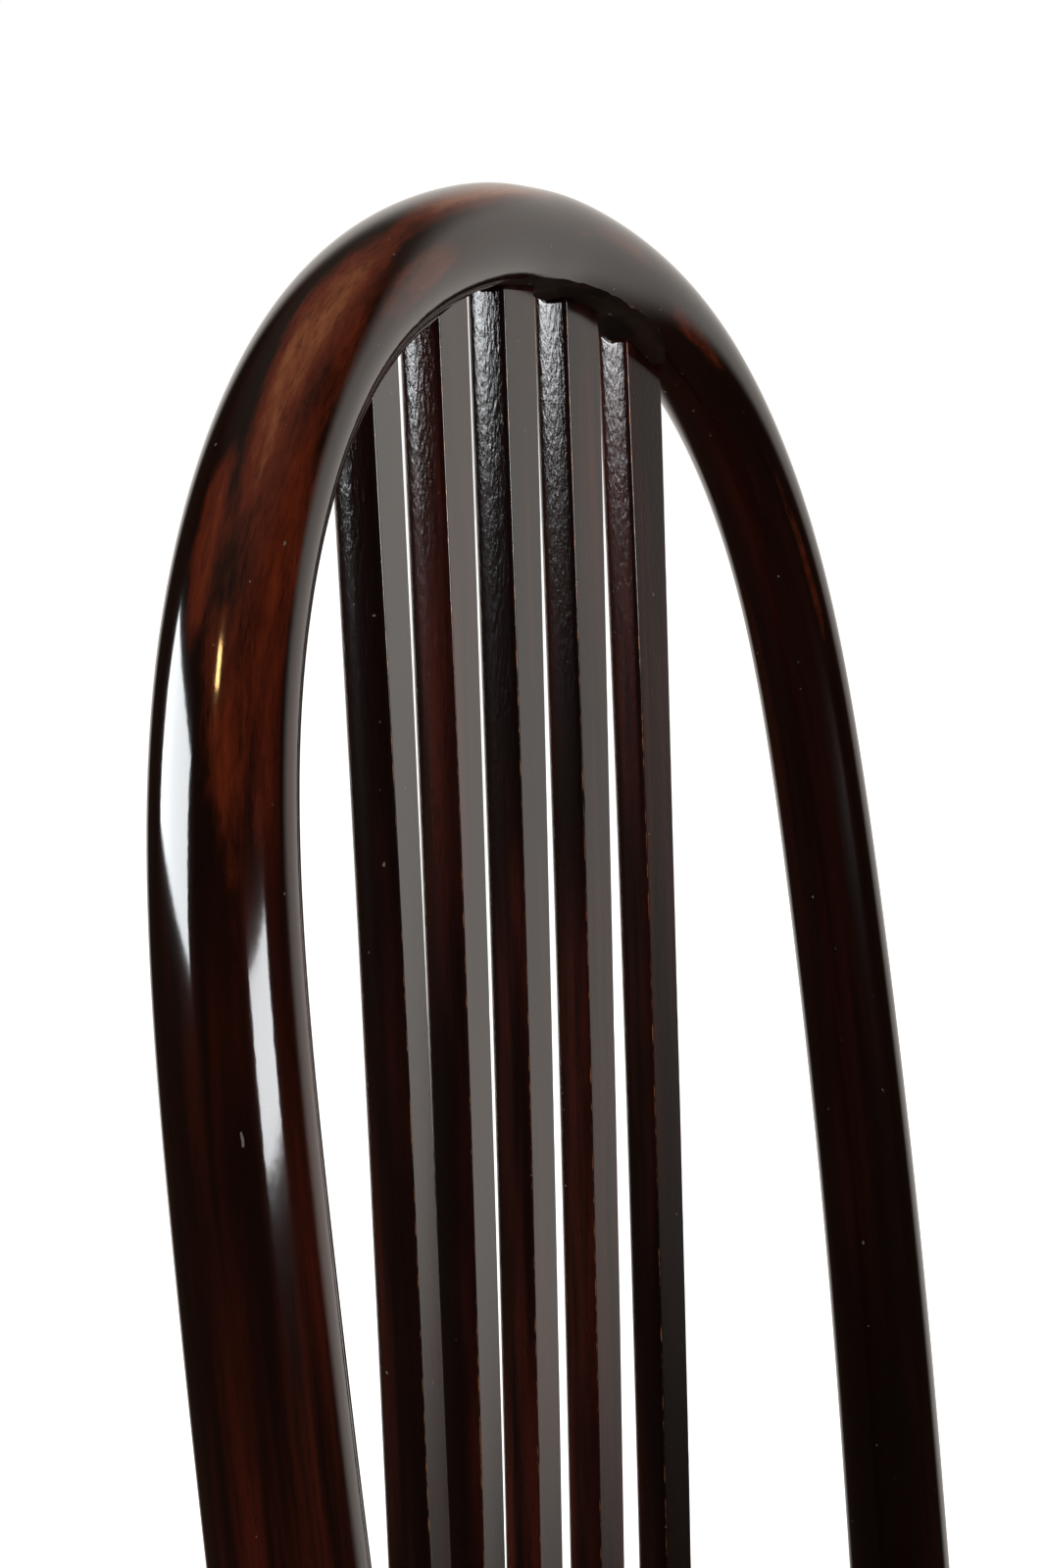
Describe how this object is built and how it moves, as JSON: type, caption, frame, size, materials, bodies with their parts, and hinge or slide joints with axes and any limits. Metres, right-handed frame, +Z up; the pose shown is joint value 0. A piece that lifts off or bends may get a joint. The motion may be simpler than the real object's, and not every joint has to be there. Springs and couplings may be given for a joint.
{
  "type": "chair",
  "caption": "High-backed bentwood side chair: a round steam-bent hoop and rear legs in one rod, upright back slats with flat fronts, round seat and ring stretcher.",
  "frame": {"origin": "on the floor, under the centre of the chair's outline", "axes": "+Z up; the sitter faces -Y; +X to the right seen from the front, across the chair's plane of symmetry"},
  "size_m": [0.4092, 0.4056, 1.04],
  "materials": {
    "rod_wood": "dark mahogany stain under glossy shellac, worn to red-brown on the arch",
    "slat_wood": "dark stained, satin flat fronts, glossy rounded backs, worn arrises",
    "seat_ring_wood": "dark mahogany stain under glossy shellac",
    "seat_panel_wood": "dark stained plywood veneer, satin where it is sat on",
    "leg_wood": "dark mahogany stain under glossy shellac",
    "stretcher_wood": "dark mahogany stain under glossy shellac, rubbed on top",
    "brass_nails": "aged brass, dull in the recesses",
    "steel": "darkened steel with bright worn edges",
    "glide_plastic": "matt dark brown"
  },
  "bodies": {
    "root": {"back_hoop": "rod_wood", "seat_ring": "seat_ring_wood", "seat_panel": "seat_panel_wood", "front_leg_left": "leg_wood", "front_leg_right": "leg_wood", "stretcher_ring": "stretcher_wood", "seat_panel_nails": "brass_nails", "seat_bolts": "steel", "seat_bolt_washers": "steel", "seat_bolt_nuts": "steel", "stretcher_screws": "steel", "back_slat_far_left": "slat_wood", "back_slat_left": "slat_wood", "back_slat_centre": "slat_wood", "back_slat_right": "slat_wood", "back_slat_far_right": "slat_wood", "glide_front_left": "glide_plastic", "glide_front_right": "glide_plastic", "glide_rear_left": "glide_plastic", "glide_rear_right": "glide_plastic"}
  },
  "joints": []
}
